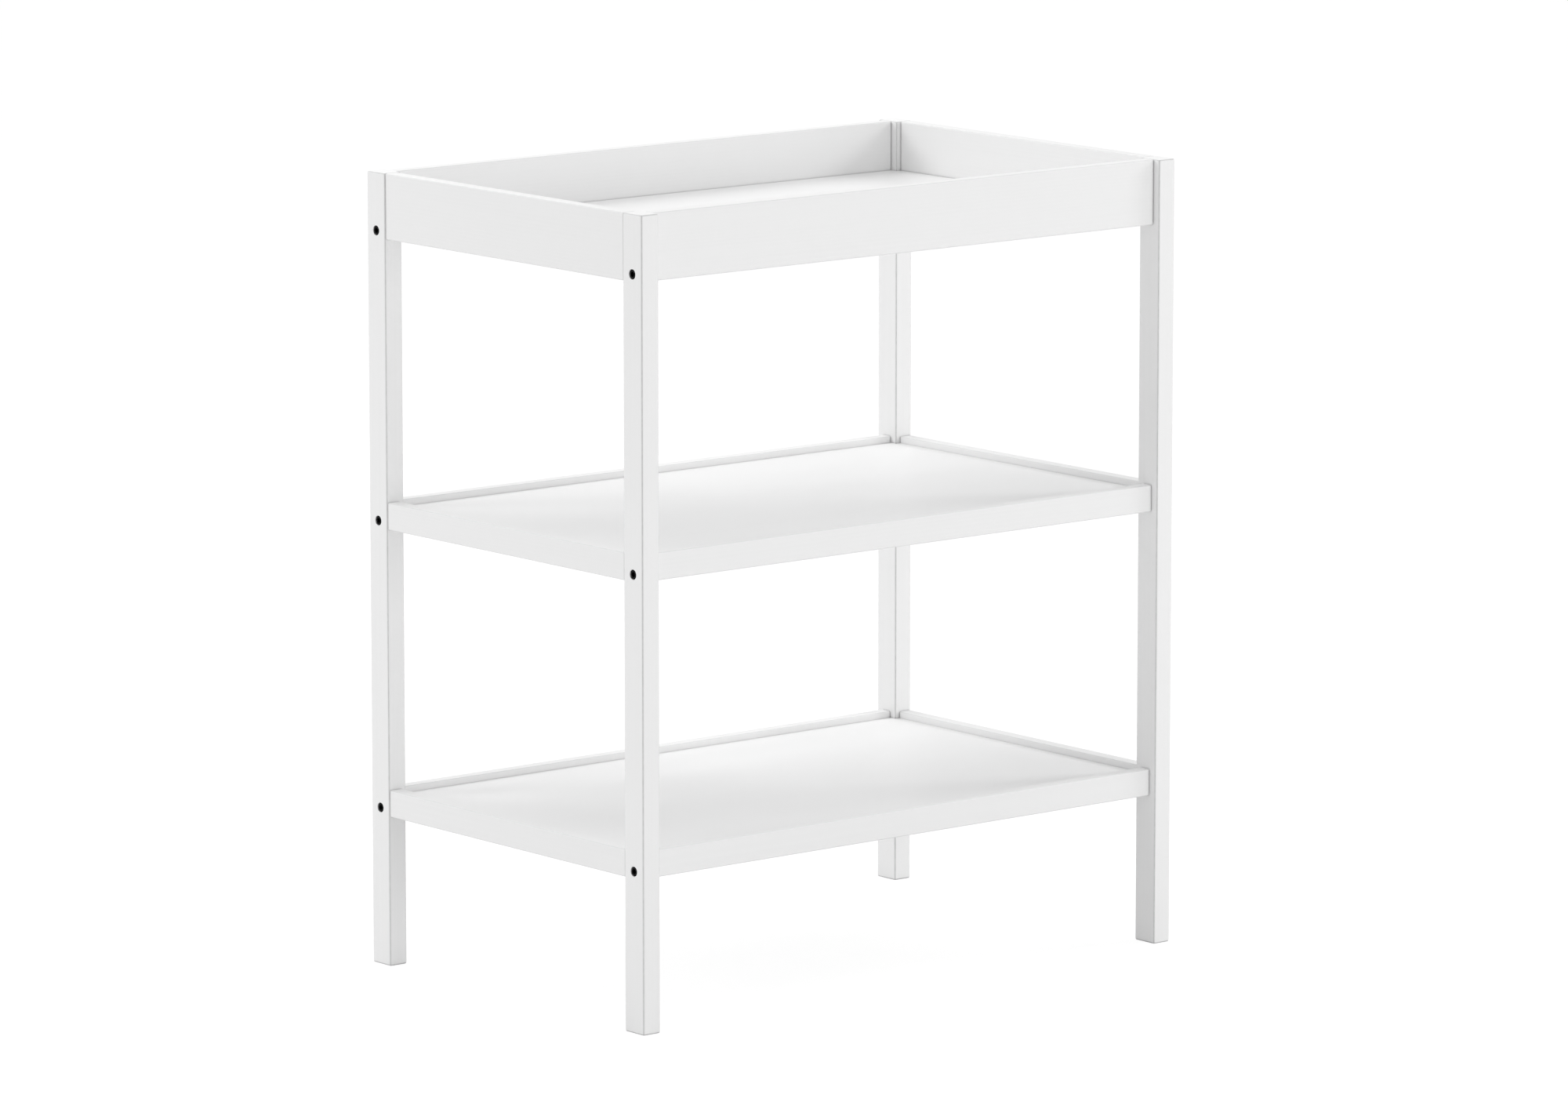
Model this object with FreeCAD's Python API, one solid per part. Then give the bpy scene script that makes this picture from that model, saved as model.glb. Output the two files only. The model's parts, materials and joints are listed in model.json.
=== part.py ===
"""Changing table: two leg frames joined by bolted long rails, with a deep tray on top and two open shelves.

Row frame: origin at the middle of the floor area, +X to the right along the long side, +Y to the back, +Z up.
All sizes are in millimetres. Every sub-part is written to parts/NODE.step.

Each end of the table is a frame: two legs with three end rails doweled and glued between them. The long
rails are knock-down parts. A socket head bolt passes through the leg into the end grain of the rail, where it
screws into a barrel nut that is let in from the rail's inner face, and wooden dowels beside the bolt stop the
rail from turning. The tray floor and the shelf boards have a tongue all round, which slides into a groove
round the inside of the rails. Their corners are notched round the legs.
"""

import FreeCAD
import Part

import os

V = FreeCAD.Vector

# Overall sizes
LENGTH = 750.0
DEPTH = 480.0
HEIGHT = 880.0

# Legs: rectangular posts, with the narrow side along the length of the table
LEG_X = 23.0
LEG_Y = 32.0
LEG_ROUND = 2.0

# Rails: long rails stand mid-way across the legs, end rails nearly flush with the outside of the legs
LONG_RAIL_THICKNESS = 14.0
END_RAIL_THICKNESS = 16.0
END_RAIL_SET_BACK = 1.0
SHELF_RAIL_HEIGHT = 30.0
RAIL_ROUND = 1.5

# Levels: the bolts of the three levels are evenly spaced up the legs, each near the foot of its rail
LEVEL_PITCH = 320.0
BOLT_ABOVE_RAIL_FOOT = 8.5
TRAY_DROP = 56.0
SHELF_DROP = 7.5

# Boards: a field between the rails, with a thinner tongue all round that sits in their grooves
BOARD_THICKNESS = 6.0
TONGUE_THICKNESS = 2.0
TONGUE_BELOW_TOP = 0.5
GROOVE_DEPTH = 3.5
GROOVE_PLAY_ABOVE = 0.3
TONGUE_END_PLAY = 0.4
BOARD_EDGE_PLAY = 0.3
BOARD_ROUND = 0.4

# Bolts: M6 socket head cap screws, let into the outer face of the leg
BOLT_DIAMETER = 6.0
BOLT_LENGTH = 55.0
BOLT_HEAD_DIAMETER = 10.0
BOLT_HEAD_HEIGHT = 6.0
BOLT_HEAD_CHAMFER = 0.5
BOLT_HEAD_RECESS = 0.5
HEX_ACROSS_FLATS = 5.0
HEX_DEPTH = 3.0
HEAD_PLAY = 0.5
SHANK_PLAY = 0.25
THREAD_LENGTH = 24.0
THREAD_PITCH = 1.0
THREAD_DEPTH = 0.6

# Barrel nuts: let into the inner face of the long rails, lying across them just below the tray's groove
NUT_DIAMETER = 10.0
NUT_FACE_RECESS = 2.0
NUT_CHAMFER = 0.4
NUT_SLOT_WIDTH = 1.6
NUT_SLOT_DEPTH = 1.2
NUT_PLAY = 0.1
THREAD_PLAY = 0.05
BOLT_PAST_NUT = 3.0
BOLT_HOLE_PAST_BOLT = 1.5
WOOD_OVER_NUT = 0.4

# Dowels: one size throughout
DOWEL_DIAMETER = 6.0
DOWEL_CHAMFER = 0.6
DOWEL_PLAY = 0.05
DOWEL_END_GAP = 1.0
DOWEL_BELOW_RAIL_TOP = 5.5
DOWEL_IN_LONG_RAIL = 18.0
DOWEL_IN_END_RAIL = 20.0
TRAY_DOWEL_SPACING = 32.0
LEG_WOOD_PAST_DOWEL = 11.0
LEG_WOOD_BESIDE_BOLT_HEAD = 0.8

# Faces that several pieces share, for the quarter of the table with +X and +Y
LEG_INNER_X = LENGTH / 2 - LEG_X
LEG_INNER_Y = DEPTH / 2 - LEG_Y
BOLT_Y = DEPTH / 2 - LEG_Y / 2
LONG_RAIL_INNER_Y = BOLT_Y - LONG_RAIL_THICKNESS / 2
LONG_RAIL_OUTER_Y = BOLT_Y + LONG_RAIL_THICKNESS / 2
END_RAIL_OUTER_X = LENGTH / 2 - END_RAIL_SET_BACK
END_RAIL_INNER_X = END_RAIL_OUTER_X - END_RAIL_THICKNESS
END_DOWEL_X = END_RAIL_OUTER_X - END_RAIL_THICKNESS / 2

# Bolts, nuts and the holes that they need
COUNTERBORE_RADIUS = BOLT_HEAD_DIAMETER / 2 + HEAD_PLAY
SHANK_HOLE_RADIUS = BOLT_DIAMETER / 2 + SHANK_PLAY
NUT_HOLE_RADIUS = NUT_DIAMETER / 2 + NUT_PLAY
HEAD_TOP_X = LENGTH / 2 - BOLT_HEAD_RECESS
HEAD_SEAT_X = HEAD_TOP_X - BOLT_HEAD_HEIGHT
BOLT_END_X = HEAD_SEAT_X - BOLT_LENGTH
NUT_X = BOLT_END_X + BOLT_PAST_NUT + NUT_DIAMETER / 2
NUT_LENGTH = LONG_RAIL_THICKNESS - 2 * NUT_FACE_RECESS
TRAY_BOLT_Z = HEIGHT - TRAY_DROP - TONGUE_BELOW_TOP - TONGUE_THICKNESS - WOOD_OVER_NUT - NUT_HOLE_RADIUS

# Dowel holes
DOWEL_HOLE_RADIUS = DOWEL_DIAMETER / 2 + DOWEL_PLAY
LONG_RAIL_DOWEL_IN_LEG = LEG_X - LEG_WOOD_PAST_DOWEL
END_RAIL_DOWEL_IN_LEG = LEG_Y / 2 - COUNTERBORE_RADIUS - LEG_WOOD_BESIDE_BOLT_HEAD

CORNERS = {
    "front_left": (-1, -1),
    "front_right": (1, -1),
    "back_left": (-1, 1),
    "back_right": (1, 1),
}


class Level:
    """One level of the table: the heights of its bolts, rails, board and dowels."""

    def __init__(self, name, board_name, bolt_z, rail_top, drop):
        self.name = name
        self.board_name = board_name
        self.bolt_z = bolt_z
        self.rail_foot = bolt_z - BOLT_ABOVE_RAIL_FOOT
        self.rail_top = rail_top
        self.board_top = rail_top - drop
        self.tongue_top = self.board_top - TONGUE_BELOW_TOP
        self.groove_foot = self.tongue_top - TONGUE_THICKNESS
        self.groove_top = self.tongue_top + GROOVE_PLAY_ABOVE

    def long_rail_dowel_rows(self):
        """Heights of the dowels beside the bolt: one in a shelf rail, two in the deep tray rail."""
        if self.rail_top - self.board_top > TRAY_DOWEL_SPACING + DOWEL_DIAMETER:
            middle = (self.board_top + self.rail_top) / 2
            return [middle - TRAY_DOWEL_SPACING / 2, middle + TRAY_DOWEL_SPACING / 2]
        return [self.rail_top - DOWEL_BELOW_RAIL_TOP]

    def end_rail_dowel_rows(self):
        """Heights of the two dowels that join an end rail to a leg."""
        return [self.bolt_z, self.long_rail_dowel_rows()[-1]]


def shelf(name, steps_below_tray):
    """A shallow level, placed by how far its bolts are below those of the tray."""
    bolt_z = TRAY_BOLT_Z - steps_below_tray * LEVEL_PITCH
    rail_top = bolt_z - BOLT_ABOVE_RAIL_FOOT + SHELF_RAIL_HEIGHT
    return Level(name, name + "_board", bolt_z, rail_top, SHELF_DROP)


LEVELS = [
    shelf("lower_shelf", 2),
    shelf("middle_shelf", 1),
    Level("tray", "tray_floor", TRAY_BOLT_Z, HEIGHT, TRAY_DROP),
]


def block(x0, x1, y0, y1, z0, z1):
    """A box between two corners."""
    return Part.makeBox(x1 - x0, y1 - y0, z1 - z0, V(x0, y0, z0))


def rounded_block(x0, x1, y0, y1, z0, z1, radius):
    """A box between two corners with all its edges rounded."""
    body = block(x0, x1, y0, y1, z0, z1)
    return body.makeFillet(radius, body.Edges)


def rod_x(x0, x1, y, z, radius):
    """A cylinder along X."""
    return Part.makeCylinder(radius, x1 - x0, V(x0, y, z), V(1, 0, 0))


def rod_y(x, y0, y1, z, radius):
    """A cylinder along Y."""
    return Part.makeCylinder(radius, y1 - y0, V(x, y0, z), V(0, 1, 0))


def turned_x(profile, y, z):
    """A solid turned about an axis along X. The profile is (x, radius) points from one end to the other."""
    first = V(profile[0][0], 0, 0)
    last = V(profile[-1][0], 0, 0)
    points = [first] + [V(x, radius, 0) for x, radius in profile] + [last]
    face = Part.Face(Part.makePolygon(points + points[:1]))
    body = face.revolve(V(0, 0, 0), V(1, 0, 0), 360)
    body.translate(V(0, y, z))
    return body


def in_corner(shape, corner):
    """A shape made for the corner with +X and +Y, mirrored into another corner."""
    side, face = CORNERS[corner]
    if side < 0:
        shape = shape.mirror(V(0, 0, 0), V(1, 0, 0))
    if face < 0:
        shape = shape.mirror(V(0, 0, 0), V(0, 1, 0))
    return shape


def leg():
    """A leg, with counterbored bolt holes from outside and blind dowel holes from its two inner faces."""
    body = rounded_block(LEG_INNER_X, LENGTH / 2, LEG_INNER_Y, DEPTH / 2, 0, HEIGHT, LEG_ROUND)
    holes = []
    for level in LEVELS:
        holes.append(rod_x(HEAD_SEAT_X, LENGTH / 2, BOLT_Y, level.bolt_z, COUNTERBORE_RADIUS))
        holes.append(rod_x(LEG_INNER_X, HEAD_SEAT_X, BOLT_Y, level.bolt_z, SHANK_HOLE_RADIUS))
        for z in level.long_rail_dowel_rows():
            end_x = LEG_INNER_X + LONG_RAIL_DOWEL_IN_LEG
            holes.append(rod_x(LEG_INNER_X, end_x, BOLT_Y, z, DOWEL_HOLE_RADIUS))
        for z in level.end_rail_dowel_rows():
            end_y = LEG_INNER_Y + END_RAIL_DOWEL_IN_LEG
            holes.append(rod_y(END_DOWEL_X, LEG_INNER_Y, end_y, z, DOWEL_HOLE_RADIUS))
    return body.cut(holes)


def long_rail(level):
    """A back rail: grooved along its inner face, with bolt, barrel nut and dowel holes at each end."""
    inner_y = LONG_RAIL_INNER_Y
    body = rounded_block(
        -LEG_INNER_X, LEG_INNER_X, inner_y, LONG_RAIL_OUTER_Y, level.rail_foot, level.rail_top, RAIL_ROUND
    )
    groove = block(
        -LEG_INNER_X, LEG_INNER_X, inner_y, inner_y + GROOVE_DEPTH, level.groove_foot, level.groove_top
    )
    bolt_hole_end = BOLT_END_X - BOLT_HOLE_PAST_BOLT
    right_end = [
        rod_x(bolt_hole_end, LEG_INNER_X, BOLT_Y, level.bolt_z, SHANK_HOLE_RADIUS),
        rod_y(NUT_X, inner_y, BOLT_Y + NUT_LENGTH / 2, level.bolt_z, NUT_HOLE_RADIUS),
    ]
    for z in level.long_rail_dowel_rows():
        hole_end = LEG_INNER_X - DOWEL_IN_LONG_RAIL
        right_end.append(rod_x(hole_end, LEG_INNER_X, BOLT_Y, z, DOWEL_HOLE_RADIUS))
    left_end = [hole.mirror(V(0, 0, 0), V(1, 0, 0)) for hole in right_end]
    return body.cut([groove] + right_end + left_end)


def end_rail(level):
    """A right end rail: grooved along its inner face, with two dowel holes at each end."""
    inner_x = END_RAIL_INNER_X
    body = rounded_block(
        inner_x, END_RAIL_OUTER_X, -LEG_INNER_Y, LEG_INNER_Y, level.rail_foot, level.rail_top, RAIL_ROUND
    )
    groove = block(
        inner_x, inner_x + GROOVE_DEPTH, -LEG_INNER_Y, LEG_INNER_Y, level.groove_foot, level.groove_top
    )
    back_end = []
    for z in level.end_rail_dowel_rows():
        hole_end = LEG_INNER_Y - DOWEL_IN_END_RAIL
        back_end.append(rod_y(END_DOWEL_X, hole_end, LEG_INNER_Y, z, DOWEL_HOLE_RADIUS))
    front_end = [hole.mirror(V(0, 0, 0), V(0, 1, 0)) for hole in back_end]
    return body.cut([groove] + back_end + front_end)


def board(level):
    """A board: a field between the rails, a tongue in their grooves and corners notched for the legs."""
    foot = level.board_top - BOARD_THICKNESS
    tongue_reach = GROOVE_DEPTH - TONGUE_END_PLAY
    field_x = END_RAIL_INNER_X - BOARD_EDGE_PLAY
    field_y = LONG_RAIL_INNER_Y - BOARD_EDGE_PLAY
    tongue_x = END_RAIL_INNER_X + tongue_reach
    tongue_y = LONG_RAIL_INNER_Y + tongue_reach
    field = block(-field_x, field_x, -field_y, field_y, foot, level.board_top)
    tongue = block(-tongue_x, tongue_x, -tongue_y, tongue_y, level.groove_foot, level.tongue_top)
    notch_x = LEG_INNER_X - BOARD_EDGE_PLAY
    notch_y = LEG_INNER_Y - BOARD_EDGE_PLAY
    notch = block(notch_x, LENGTH / 2, notch_y, DEPTH / 2, foot, level.board_top)
    body = field.fuse(tongue).cut([in_corner(notch, corner) for corner in CORNERS])
    top_rim = [edge for edge in body.Edges if edge.BoundBox.ZMin > level.board_top - BOARD_ROUND / 2]
    return body.makeFillet(BOARD_ROUND, top_rim)


def bolt(level):
    """A socket head bolt. Plain rings stand for its thread, one ring a pitch."""
    root = BOLT_DIAMETER / 2 - THREAD_DEPTH
    profile = [(BOLT_END_X, root)]
    for turn in range(int(THREAD_LENGTH / THREAD_PITCH)):
        x = BOLT_END_X + turn * THREAD_PITCH
        profile.append((x + THREAD_PITCH / 2, BOLT_DIAMETER / 2))
        profile.append((x + THREAD_PITCH, root))
    profile.append((profile[-1][0] + THREAD_DEPTH, BOLT_DIAMETER / 2))
    profile.append((HEAD_SEAT_X, BOLT_DIAMETER / 2))
    profile.append((HEAD_SEAT_X, BOLT_HEAD_DIAMETER / 2))
    profile.append((HEAD_TOP_X - BOLT_HEAD_CHAMFER, BOLT_HEAD_DIAMETER / 2))
    profile.append((HEAD_TOP_X, BOLT_HEAD_DIAMETER / 2 - BOLT_HEAD_CHAMFER))
    return turned_x(profile, BOLT_Y, level.bolt_z).cut(hex_socket(level.bolt_z))


def hex_socket(z):
    """The six-sided socket in a bolt head, with the drill's cone at its end."""
    spoke = V(0, 0, HEX_ACROSS_FLATS / 3**0.5)
    centre = V(HEAD_TOP_X, BOLT_Y, z)
    corners = [centre + FreeCAD.Rotation(V(1, 0, 0), 60 * turn).multVec(spoke) for turn in range(6)]
    prism = Part.Face(Part.makePolygon(corners + corners[:1])).extrude(V(-HEX_DEPTH, 0, 0))
    floor = centre - V(HEX_DEPTH, 0, 0)
    cone = Part.makeCone(HEX_ACROSS_FLATS / 2, 0, HEX_ACROSS_FLATS / 4, floor, V(-1, 0, 0))
    return prism.fuse(cone)


def barrel_nut(level):
    """A barrel nut across the rail, bored for the bolt and slotted at the end that shows inside."""
    inner_y = BOLT_Y - NUT_LENGTH / 2
    z = level.bolt_z
    body = rod_y(NUT_X, inner_y, inner_y + NUT_LENGTH, z, NUT_DIAMETER / 2)
    rims = [edge for edge in body.Edges if len(edge.Vertexes) == 1]
    body = body.makeChamfer(NUT_CHAMFER, rims)
    x0 = NUT_X - NUT_DIAMETER
    x1 = NUT_X + NUT_DIAMETER
    bore = rod_x(x0, x1, BOLT_Y, z, BOLT_DIAMETER / 2 + THREAD_PLAY)
    slot = block(x0, x1, inner_y, inner_y + NUT_SLOT_DEPTH, z - NUT_SLOT_WIDTH / 2, z + NUT_SLOT_WIDTH / 2)
    return body.cut([bore, slot])


def chamfered(rod):
    """A dowel with both its ends chamfered."""
    rims = [edge for edge in rod.Edges if len(edge.Vertexes) == 1]
    return rod.makeChamfer(DOWEL_CHAMFER, rims)


def long_rail_dowels():
    """The dowels between one leg and its three long rails."""
    x0 = LEG_INNER_X - DOWEL_IN_LONG_RAIL + DOWEL_END_GAP
    x1 = LEG_INNER_X + LONG_RAIL_DOWEL_IN_LEG - DOWEL_END_GAP
    rows = [z for level in LEVELS for z in level.long_rail_dowel_rows()]
    return Part.makeCompound([chamfered(rod_x(x0, x1, BOLT_Y, z, DOWEL_DIAMETER / 2)) for z in rows])


def end_rail_dowels():
    """The dowels between one leg and its three end rails."""
    y0 = LEG_INNER_Y - DOWEL_IN_END_RAIL + DOWEL_END_GAP
    y1 = LEG_INNER_Y + END_RAIL_DOWEL_IN_LEG - DOWEL_END_GAP
    rows = [z for level in LEVELS for z in level.end_rail_dowel_rows()]
    return Part.makeCompound([chamfered(rod_y(END_DOWEL_X, y0, y1, z, DOWEL_DIAMETER / 2)) for z in rows])


def table():
    """Every sub-part by its node's name."""
    nodes = {}
    for corner in CORNERS:
        nodes[corner + "_leg"] = in_corner(leg(), corner)
        nodes[corner + "_long_rail_dowels"] = in_corner(long_rail_dowels(), corner)
        nodes[corner + "_end_rail_dowels"] = in_corner(end_rail_dowels(), corner)
    for level in LEVELS:
        nodes[level.name + "_back_rail"] = in_corner(long_rail(level), "back_right")
        nodes[level.name + "_front_rail"] = in_corner(long_rail(level), "front_right")
        nodes[level.name + "_right_rail"] = in_corner(end_rail(level), "back_right")
        nodes[level.name + "_left_rail"] = in_corner(end_rail(level), "back_left")
        nodes[level.board_name] = board(level)
        for corner in CORNERS:
            nodes[level.name + "_" + corner + "_bolt"] = in_corner(bolt(level), corner)
            nodes[level.name + "_" + corner + "_barrel_nut"] = in_corner(barrel_nut(level), corner)
    return nodes


def main():
    os.makedirs("parts", exist_ok=True)
    for name, shape in table().items():
        assert shape.isValid(), name
        shape.exportStep("parts/" + name + ".step")
        print(f"{name}: {len(shape.Solids)} solid(s), {shape.Volume / 1000:.1f} cm3")


main()
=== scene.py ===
"""Changing table: finishes for every CAD piece, bolts and dowels in full detail, and a plain studio stage.

Laid out as an add-on and run as a script. Each operator finishes or builds one group of like pieces around
the packed CAD frame, in metres and in the same row frame: +X along the long side, +Y to the back, +Z up.
"""

import json
import math

import bmesh
import bpy
from bpy.props import FloatProperty, FloatVectorProperty, IntProperty, PointerProperty
from bpy.types import Operator, Panel, PropertyGroup
from mathutils import Matrix, Vector


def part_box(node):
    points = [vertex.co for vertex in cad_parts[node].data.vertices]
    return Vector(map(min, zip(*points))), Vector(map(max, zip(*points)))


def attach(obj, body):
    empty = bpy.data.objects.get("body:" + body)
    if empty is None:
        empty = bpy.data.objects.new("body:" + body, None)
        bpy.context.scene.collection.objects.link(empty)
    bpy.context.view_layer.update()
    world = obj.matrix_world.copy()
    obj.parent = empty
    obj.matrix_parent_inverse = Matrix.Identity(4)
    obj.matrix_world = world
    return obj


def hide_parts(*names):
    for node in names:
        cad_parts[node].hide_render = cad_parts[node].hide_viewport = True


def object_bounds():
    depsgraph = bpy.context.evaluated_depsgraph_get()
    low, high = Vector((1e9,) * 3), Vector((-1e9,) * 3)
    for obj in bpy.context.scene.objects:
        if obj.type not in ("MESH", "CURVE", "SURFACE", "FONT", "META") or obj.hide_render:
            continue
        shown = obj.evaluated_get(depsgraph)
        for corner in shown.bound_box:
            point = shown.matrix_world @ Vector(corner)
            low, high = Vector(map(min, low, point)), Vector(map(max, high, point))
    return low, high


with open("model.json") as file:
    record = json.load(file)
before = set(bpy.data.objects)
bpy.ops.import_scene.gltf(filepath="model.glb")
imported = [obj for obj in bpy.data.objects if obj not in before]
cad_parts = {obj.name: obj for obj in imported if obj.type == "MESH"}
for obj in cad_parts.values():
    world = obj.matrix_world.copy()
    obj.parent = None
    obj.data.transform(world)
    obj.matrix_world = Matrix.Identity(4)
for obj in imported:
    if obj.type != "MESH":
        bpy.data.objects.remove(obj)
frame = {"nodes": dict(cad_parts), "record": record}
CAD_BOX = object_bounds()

bl_info = {
    "name": "Changing table",
    "version": (1, 0, 0),
    "blender": (4, 5, 0),
    "location": "View3D > Sidebar > Table",
    "description": "Lacquers, fastens and lights a bolted wooden changing table",
    "category": "Object",
}

MM = 0.001

# The CAD frame's nodes, by groups of like pieces.
CORNERS = ("front_left", "front_right", "back_left", "back_right")
SHELVES = ("lower_shelf", "middle_shelf")
LEVELS = (*SHELVES, "tray")
LEGS = [f"{corner}_leg" for corner in CORNERS]
LONG_RAILS = [f"{level}_{side}_rail" for level in LEVELS for side in ("front", "back")]
END_RAILS = [f"{level}_{side}_rail" for level in LEVELS for side in ("left", "right")]
BOARDS = [*(f"{shelf}_board" for shelf in SHELVES), "tray_floor"]
BOLTS = [f"{level}_{corner}_bolt" for level in LEVELS for corner in CORNERS]
BARREL_NUTS = [f"{level}_{corner}_barrel_nut" for level in LEVELS for corner in CORNERS]
DOWEL_GROUPS = [f"{corner}_{rail}_rail_dowels" for corner in CORNERS for rail in ("long", "end")]

# Sizes and colours that come from the frame.
BOLT_LOW, BOLT_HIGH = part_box("tray_front_left_bolt")
TABLE_HEIGHT = CAD_BOX[1].z - CAD_BOX[0].z
SLOT_COLOURS = {entry["slot"]: entry["base_color"] for entry in frame["record"]["materials"]}

ALONG_X = Vector((1.0, 0.0, 0.0))
ALONG_Y = Vector((0.0, 1.0, 0.0))
UPRIGHT = Vector((0.0, 0.0, 1.0))
BLACK = (0.0, 0.0, 0.0)
WHITE = (1.0, 1.0, 1.0)

# Lacquer: the range of its slow clouds, and the roughness of its sealing coat.
CLOUD_RANGE = (0.3, 0.7)
COAT_ROUGHNESS = 0.35

# Modelling, in metres and radians. The attribute keeps a small piece's own frame for its material.
OWN_PLACE = "own_place"
HEIGHT_TOLERANCE = 1e-6
MERGE_DISTANCE = 1e-7
LEAST_GROOVES = 8
THREAD_STEPS = 36
THREAD_RUN_IN = 1.04  # pitches of thread below the tip, which are trimmed off
KEY_TURN = math.radians(37.0)  # from one bolt's socket to the next one's
BOLT_CREASE = math.radians(24.0)  # edges sharper than this aren't smoothed
DOWEL_CREASE = math.radians(40.0)

# Stage, in metres and noise features per metre.
FLOOR_SIDES = 96
FLOOR_ROUGHNESS = 0.9
FLOOR_SPECKLE_SCALE = 900.0
FLOOR_SPECKLE_SHADE = 0.01
FLOOR_WHITE = 1.1  # strength of the plain white in the floor
CAMERA_REACH = 100.0

# Softboxes: degrees round the table from the camera, degrees above the horizon, and the kind.
SOFTBOXES = {
    "left": (-80.0, 25.0, "narrow"),
    "front": (60.0, 4.0, "narrow"),
    "right": (110.0, 30.0, "narrow"),
    "high": (-135.0, 50.0, "wide"),
    "top": (180.0, 87.0, "wide"),
}


def length_property(name, description, default):
    """A length in metres that a user can change."""
    return FloatProperty(name=name, description=description, default=default, unit="LENGTH", precision=5)


def share_property(name, description, default, top=1.0):
    """A plain number from 0 to a limit."""
    return FloatProperty(name=name, description=description, default=default, min=0.0, max=top)


def power_property(name, description, default):
    """A lamp's power in watts."""
    return FloatProperty(name=name, description=description, default=default, min=0.0, unit="POWER")


def angle_property(name, description, degrees):
    """An angle, given in degrees and kept in radians."""
    return FloatProperty(name=name, description=description, default=math.radians(degrees), subtype="ANGLE")


def groove_property(name, description, default):
    """How many grooves go round a piece."""
    return IntProperty(name=name, description=description, default=default, min=LEAST_GROOVES)


def colour_property(name, description, default):
    """A colour that a user can change."""
    return FloatVectorProperty(
        name=name, description=description, default=default, subtype="COLOR", size=3, min=0.0, max=1.0
    )


class LacquerSettings(PropertyGroup):
    """The satin white lacquer on the solid wood and on the boards."""

    wood_colour: colour_property("Wood colour", "Lacquer on legs and rails", (0.895, 0.895, 0.895))
    board_colour: colour_property("Board colour", "Lacquer on the boards", (0.895, 0.895, 0.895))
    # The arris shades darken rounded edges, partly as lacquer wear and partly as painted shade; the crease
    # shades are painted shade in joints and corners.
    leg_arris_shade: share_property("Leg arris shade", "How much darker a leg's arris is", 0.30)
    rail_arris_shade: share_property("Rail arris shade", "How much darker a rail's arris is", 0.10)
    leg_crease_shade: share_property("Leg crease shade", "How much darker a leg is by its joints", 0.17)
    shelf_crease_shade: share_property("Shelf crease shade", "How much darker a shelf's creases are", 0.05)
    tray_crease_shade: share_property("Tray crease shade", "How much darker the tray's creases are", 0.24)
    crease_reach: length_property("Crease reach", "How far a crease spreads over its faces", 3.0 * MM)
    grain_shade: share_property("Grain shade", "How much darker the film is over the growth rings", 0.010)
    cloud_shade: share_property("Cloud shade", "Slow unevenness of the film's tone", 0.012)
    roughness: share_property("Roughness", "Roughness of the satin film", 0.42)
    roughness_spread: share_property("Roughness spread", "How far the roughness wanders", 0.10)
    specular: share_property("Specular level", "Strength of the film's reflection", 0.35)
    clear_coat: share_property("Clear coat", "Weight of the sealing coat on flat faces", 0.12)
    ring_spacing: length_property("Ring spacing", "Distance between growth rings", 4.2 * MM)
    ring_wander: length_property("Ring wander", "How far the rings stray", 12.0 * MM)
    ring_relief: length_property("Ring relief", "Depth of the rings that show through the film", 0.022 * MM)
    pore_relief: length_property("Pore relief", "Depth of the pores that show through the film", 0.02 * MM)
    peel_size: length_property("Peel size", "Width of the orange peel on wood", 1.6 * MM)
    peel_relief: length_property("Peel relief", "Depth of the orange peel on wood", 0.012 * MM)
    roller_size: length_property("Stipple size", "Width of the stipple on boards", 0.9 * MM)
    roller_relief: length_property("Stipple relief", "Depth of the stipple on boards", 0.01 * MM)


class BoltSettings(PropertyGroup):
    """The socket head bolts, whose overall size comes from the CAD frame."""

    head_diameter: length_property("Head diameter", "Across the knurled head", BOLT_HIGH.y - BOLT_LOW.y)
    overall_length: length_property("Overall length", "Head and shank", BOLT_HIGH.x - BOLT_LOW.x)
    head_height: length_property("Head height", "Thickness of the head", 6.0 * MM)
    head_chamfer: length_property("Head chamfer", "Bevel round the top of the head", 0.5 * MM)
    shank_diameter: length_property("Shank diameter", "Across the shank and the thread's crests", 6.0 * MM)
    hex_across_flats: length_property("Hex across flats", "Size of the key that fits the socket", 5.0 * MM)
    hex_depth: length_property("Hex depth", "Depth of the socket's flat walls", 3.0 * MM)
    thread_length: length_property("Thread length", "Threaded part of the shank", 24.0 * MM)
    thread_pitch: length_property("Thread pitch", "Distance from crest to crest", 1.0 * MM)
    thread_depth: length_property("Thread depth", "From crest to root", 0.6 * MM)
    head_fillet: length_property("Head fillet", "Rounding between head and shank", 0.3 * MM)
    socket_bevel: length_property("Socket bevel", "Bevel round the socket's rim", 0.2 * MM)
    socket_point: length_property("Socket point", "Depth of the drill's point under the socket", 1.0 * MM)
    knurl_depth: length_property("Knurl depth", "Depth of the grooves round the head", 0.18 * MM)
    knurl_grooves: groove_property("Knurl grooves", "Grooves round the head", 30)
    mark_pitch: length_property("Mark pitch", "Spacing of the turning marks", 0.25 * MM)
    mark_relief: length_property("Mark relief", "Depth of the turning marks", 0.006 * MM)
    colour: colour_property("Colour", "Black oxide", (0.006, 0.006, 0.0065))
    worn_colour: colour_property("Worn colour", "Oxide that the tools have rubbed", (0.016, 0.016, 0.017))
    roughness: share_property("Roughness", "Roughness of the oxide", 0.52)
    specular: share_property("Specular level", "Strength of the oxide's reflection", 0.06)


class NutSettings(PropertyGroup):
    """The zinc plated barrel nuts."""

    colour: colour_property("Colour", "Bright zinc", SLOT_COLOURS["zinc_steel"])
    stain_colour: colour_property("Stain colour", "Yellowed passivation", (0.60, 0.585, 0.53))
    roughness: share_property("Roughness", "Roughness of the plating", 0.27)
    mark_pitch: length_property("Mark pitch", "Spacing of the turning marks", 0.22 * MM)
    mark_relief: length_property("Mark relief", "Depth of the turning marks", 0.006 * MM)


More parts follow.
